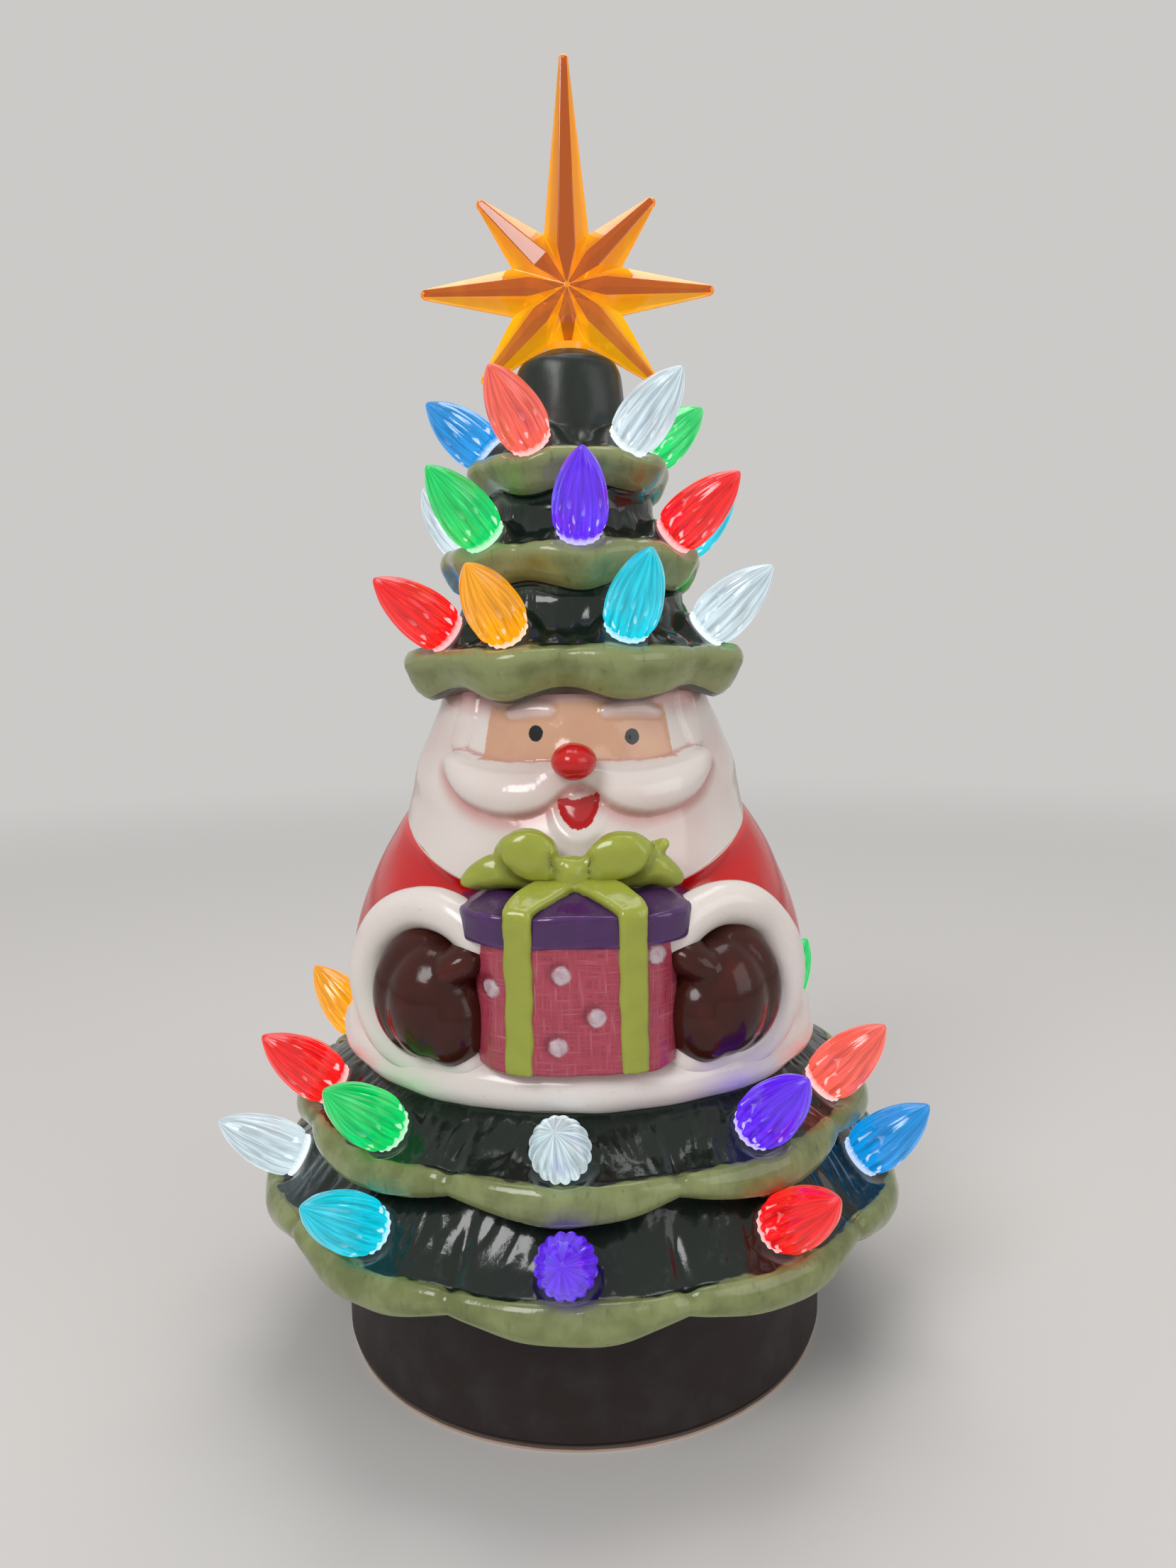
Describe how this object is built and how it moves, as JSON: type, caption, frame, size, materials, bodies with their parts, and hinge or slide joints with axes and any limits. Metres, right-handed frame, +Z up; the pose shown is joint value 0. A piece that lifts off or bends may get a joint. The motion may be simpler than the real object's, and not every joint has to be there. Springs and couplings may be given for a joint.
{
  "type": "lit ceramic christmas tree",
  "caption": "Lit ceramic christmas tree with a Santa figure in its middle, push-in flame bulbs, an amber star and a round battery base.",
  "frame": {"origin": "centre of the flat ring that the base stands on", "axes": "+Z up along the tree's axis, front of the figure looks along -Y, +X to the viewer's right"},
  "size_m": [0.1558, 0.1634, 0.2795],
  "materials": {
    "matte_ceramic": "matt",
    "black_plastic": "satin",
    "grey_plastic": "satin",
    "white_plastic": "satin",
    "frosted_plastic": "frosted",
    "pale_silicone": "matt",
    "plated_steel": "satin",
    "cell_sleeve": "gloss",
    "green_board": "satin",
    "diode_lens": "gloss",
    "red_sleeve": "satin",
    "branch_glaze": "gloss",
    "red_glaze": "gloss",
    "white_glaze": "gloss",
    "lime_glaze": "gloss",
    "pink_glaze": "gloss",
    "purple_glaze": "gloss",
    "brown_glaze": "gloss",
    "amber_star": "gloss",
    "lens_red": "gloss",
    "lens_green": "gloss",
    "lens_purple": "gloss",
    "lens_white": "gloss",
    "lens_cyan": "gloss",
    "lens_amber": "gloss",
    "lens_coral": "gloss",
    "lens_blue": "gloss"
  },
  "bodies": {
    "base": {"base_drum": "matte_ceramic", "base_plate": "black_plastic", "foot_ring": "pale_silicone", "screws": "plated_steel", "battery_tray": "black_plastic", "battery_cells": "cell_sleeve", "battery_contacts": "plated_steel", "light_column": "white_plastic", "led_board": "green_board", "leds": "diode_lens", "diffuser": "frosted_plastic", "switch_body": "black_plastic", "leads": "red_sleeve"},
    "tree": {"skirt_shell": "branch_glaze", "hat_shell": "branch_glaze", "coat_shell": "red_glaze", "coat_hem": "white_glaze", "head_shell": "white_glaze", "moustache": "white_glaze", "nose": "red_glaze", "bow": "lime_glaze", "gift_box": "pink_glaze", "gift_lid": "purple_glaze", "gift_ribbons": "lime_glaze", "left_mitten": "brown_glaze", "right_mitten": "brown_glaze", "left_cuff": "white_glaze", "right_cuff": "white_glaze", "bulb_a_1": "lens_purple", "bulb_a_2": "lens_amber", "bulb_a_3": "lens_red", "bulb_a_4": "lens_green", "bulb_a_5": "lens_white", "bulb_a_6": "lens_purple", "bulb_a_7": "lens_coral", "bulb_a_8": "lens_green", "bulb_a_9": "lens_blue", "bulb_b_1": "lens_green", "bulb_b_2": "lens_coral", "bulb_b_3": "lens_white", "bulb_b_4": "lens_cyan", "bulb_b_5": "lens_purple", "bulb_b_6": "lens_red", "bulb_b_7": "lens_blue", "bulb_b_8": "lens_amber", "bulb_b_9": "lens_white", "bulb_b_10": "lens_red", "hat_bulbs_red": "lens_red", "hat_bulbs_green": "lens_green", "hat_bulbs_purple": "lens_purple", "hat_bulbs_white": "lens_white", "hat_bulbs_cyan": "lens_cyan", "hat_bulbs_amber": "lens_amber", "hat_bulbs_coral": "lens_coral", "hat_bulbs_blue": "lens_blue"},
    "star": {"star": "amber_star"},
    "lid": {"battery_lid": "black_plastic"},
    "knob": {"switch_knob": "grey_plastic"}
  },
  "joints": [
    {"name": "tree_lift", "type": "slide", "parent": "base", "child": "tree", "axis": [0, 0, 1], "range_m": [0, 0.1]},
    {"name": "star_lift", "type": "slide", "parent": "tree", "child": "star", "axis": [0, 0, 1], "range_m": [0, 0.02]},
    {"name": "lid_hinge", "type": "hinge", "parent": "base", "child": "lid", "pos_m": [0, 0.0341, 0.01825], "axis": [-1, 0, 0], "range_deg": [0, 80]},
    {"name": "switch_slide", "type": "slide", "parent": "base", "child": "knob", "axis": [1, 0, 0], "range_m": [0, 0.004]}
  ]
}
